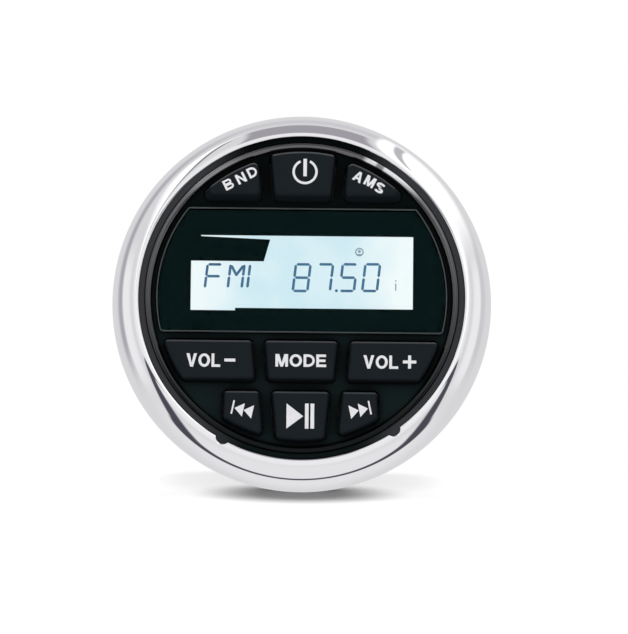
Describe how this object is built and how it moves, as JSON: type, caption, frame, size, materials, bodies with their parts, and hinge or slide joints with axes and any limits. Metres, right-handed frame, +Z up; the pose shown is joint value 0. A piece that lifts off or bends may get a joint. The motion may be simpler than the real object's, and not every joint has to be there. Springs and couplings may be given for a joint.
{
  "type": "marine stereo",
  "caption": "Round in-dash marine stereo with a domed chrome ring, a black face with a lit display and soft keys, and a sealed barrel with studs and sockets at the back.",
  "frame": {"origin": "on the barrel axis in the plane of the panel, where the gasket seats", "axes": "+Y along the barrel axis to the rear, the face looks along -Y, +Z up, +X to the right of the face"},
  "size_m": [0.1054, 0.0741, 0.1054],
  "materials": {
    "chrome_ring": "mirror-bright chrome plate",
    "black_gloss": "glossy black moulding",
    "clear_lens": "polished clear acrylic",
    "mask_print": "black print on the back of the lens",
    "soft_key": "matte soft-touch rubber",
    "switch_plastic": "moulded",
    "dark_plastic": "fine texture",
    "seal_rubber": "moulded rubber",
    "mat_rubber": "silicone sheet",
    "board": "solder resist over glass-fibre",
    "chip": "moulded package",
    "display_glass": "lit liquid-crystal glass",
    "white_plastic": "reflective white moulding",
    "guide": "clear acrylic",
    "strip_rubber": "layered contact rubber",
    "lamp": "lamp package",
    "brass": "turned",
    "tin": "bright tin plate",
    "steel": "stainless",
    "sleeve": "shrink sleeve",
    "module_blue": "small board with a shield",
    "ferrite": "ferrite block",
    "pad": "thermal pad",
    "sink": "extruded, natural",
    "cream_plastic": "socket moulding",
    "insulator": "insulator"
  },
  "bodies": {
    "unit": {"bezel_ring": "chrome_ring", "fascia": "black_gloss", "face_seal": "seal_rubber", "display_lens": "clear_lens", "lens_mask": "mask_print", "key_mat": "mat_rubber", "tact_switches": "dark_plastic", "control_board": "board", "control_chip": "chip", "lcd_panel": "display_glass", "lcd_frame": "white_plastic", "light_guide": "guide", "contact_strips": "strip_rubber", "display_leds": "lamp", "board_plug": "dark_plastic", "board_socket": "dark_plastic", "stack_spacers": "brass", "main_board": "board", "tuner_can": "tin", "radio_module": "module_blue", "capacitors": "sleeve", "power_inductor": "ferrite", "amplifier_chip": "chip", "thermal_pad": "pad", "amplifier_clamp": "steel", "clamp_screws": "steel", "housing": "dark_plastic", "rear_cover": "dark_plastic", "housing_screws": "steel", "panel_gasket": "seal_rubber", "heat_sink": "sink", "sink_gasket": "seal_rubber", "sink_screws": "steel", "stud_inserts": "brass", "mount_studs": "steel", "harness_socket": "cream_plastic", "harness_pins": "brass", "harness_seal": "seal_rubber", "aerial_socket": "tin", "aerial_insert": "insulator", "aerial_nut": "steel"},
    "band_key": {"key_band": "soft_key", "plunger_band": "switch_plastic"},
    "power_key": {"key_power": "soft_key", "plunger_power": "switch_plastic"},
    "memory_key": {"key_memory": "soft_key", "plunger_memory": "switch_plastic"},
    "volume_down_key": {"key_volume_down": "soft_key", "plunger_volume_down": "switch_plastic"},
    "mode_key": {"key_mode": "soft_key", "plunger_mode": "switch_plastic"},
    "volume_up_key": {"key_volume_up": "soft_key", "plunger_volume_up": "switch_plastic"},
    "previous_key": {"key_previous": "soft_key", "plunger_previous": "switch_plastic"},
    "play_key": {"key_play": "soft_key", "plunger_play": "switch_plastic"},
    "next_key": {"key_next": "soft_key", "plunger_next": "switch_plastic"}
  },
  "joints": [
    {"name": "band_press", "type": "slide", "parent": "unit", "child": "band_key", "axis": [0, 1, 0], "range_m": [0, 0.0006], "stiffness_N_per_m": 1500, "springref_m": -0.0006},
    {"name": "power_press", "type": "slide", "parent": "unit", "child": "power_key", "axis": [0, 1, 0], "range_m": [0, 0.0006], "stiffness_N_per_m": 1500, "springref_m": -0.0006},
    {"name": "memory_press", "type": "slide", "parent": "unit", "child": "memory_key", "axis": [0, 1, 0], "range_m": [0, 0.0006], "stiffness_N_per_m": 1500, "springref_m": -0.0006},
    {"name": "volume_down_press", "type": "slide", "parent": "unit", "child": "volume_down_key", "axis": [0, 1, 0], "range_m": [0, 0.0006], "stiffness_N_per_m": 1500, "springref_m": -0.0006},
    {"name": "mode_press", "type": "slide", "parent": "unit", "child": "mode_key", "axis": [0, 1, 0], "range_m": [0, 0.0006], "stiffness_N_per_m": 1500, "springref_m": -0.0006},
    {"name": "volume_up_press", "type": "slide", "parent": "unit", "child": "volume_up_key", "axis": [0, 1, 0], "range_m": [0, 0.0006], "stiffness_N_per_m": 1500, "springref_m": -0.0006},
    {"name": "previous_press", "type": "slide", "parent": "unit", "child": "previous_key", "axis": [0, 1, 0], "range_m": [0, 0.0006], "stiffness_N_per_m": 1500, "springref_m": -0.0006},
    {"name": "play_press", "type": "slide", "parent": "unit", "child": "play_key", "axis": [0, 1, 0], "range_m": [0, 0.0006], "stiffness_N_per_m": 1500, "springref_m": -0.0006},
    {"name": "next_press", "type": "slide", "parent": "unit", "child": "next_key", "axis": [0, 1, 0], "range_m": [0, 0.0006], "stiffness_N_per_m": 1500, "springref_m": -0.0006}
  ]
}
